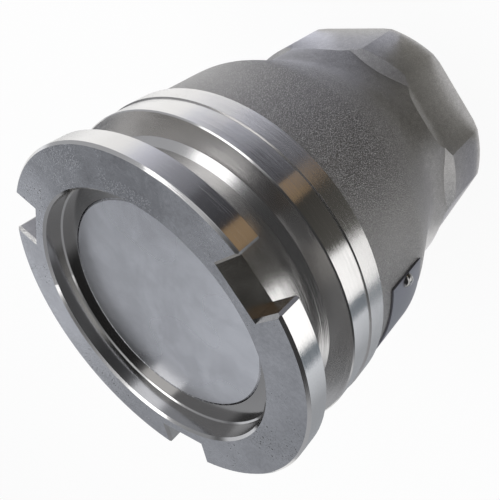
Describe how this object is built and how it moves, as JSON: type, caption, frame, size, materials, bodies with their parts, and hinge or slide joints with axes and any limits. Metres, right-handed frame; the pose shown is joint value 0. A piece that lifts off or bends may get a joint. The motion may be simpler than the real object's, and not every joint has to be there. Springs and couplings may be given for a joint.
{
  "type": "dry break coupling",
  "caption": "Fixed half of a dry break coupling: notched bayonet flange and roller groove, cast barrel with a sprung poppet valve, and a hexagonal end with a female pipe thread.",
  "frame": {"origin": "on the coupling's axis, in the face of the threaded pipe end that it stands on", "axes": "+Z along the coupling's axis towards the mating face; +Y through the middle of one bayonet notch"},
  "size_m": [0.1191, 0.1185, 0.1375],
  "materials": {
    "cast_stainless": "shot-blasted casting, machined faces satin",
    "machined_stainless": "fine turned",
    "fastener_stainless": "satin",
    "spring_steel": "drawn wire, semi-bright",
    "plate_steel": "smooth sheet, bare",
    "rivet_steel": "polished",
    "seal_rubber": "smooth",
    "bush_plastic": "white bearing plastic",
    "insert_plastic": "blue nylon"
  },
  "bodies": {
    "housing": {"body_casting": "cast_stainless", "guide_spider": "cast_stainless", "stem_bush": "bush_plastic", "spring_seat": "machined_stainless", "valve_spring": "spring_steel", "spider_circlip": "spring_steel", "nameplate": "plate_steel", "nameplate_rivets": "rivet_steel"},
    "poppet": {"poppet_head": "machined_stainless", "poppet_seal": "seal_rubber", "seal_retainer": "machined_stainless", "retainer_lock_washer": "machined_stainless", "poppet_stem": "machined_stainless", "stop_washer": "fastener_stainless", "stem_nut": "fastener_stainless", "nut_insert": "insert_plastic"}
  },
  "joints": [
    {"name": "poppet_slide", "type": "slide", "parent": "housing", "child": "poppet", "axis": [0, 0, -1], "range_m": [0, 0.02], "stiffness_N_per_m": 9000, "springref_m": -0.008, "deforming": ["valve_spring"]}
  ]
}
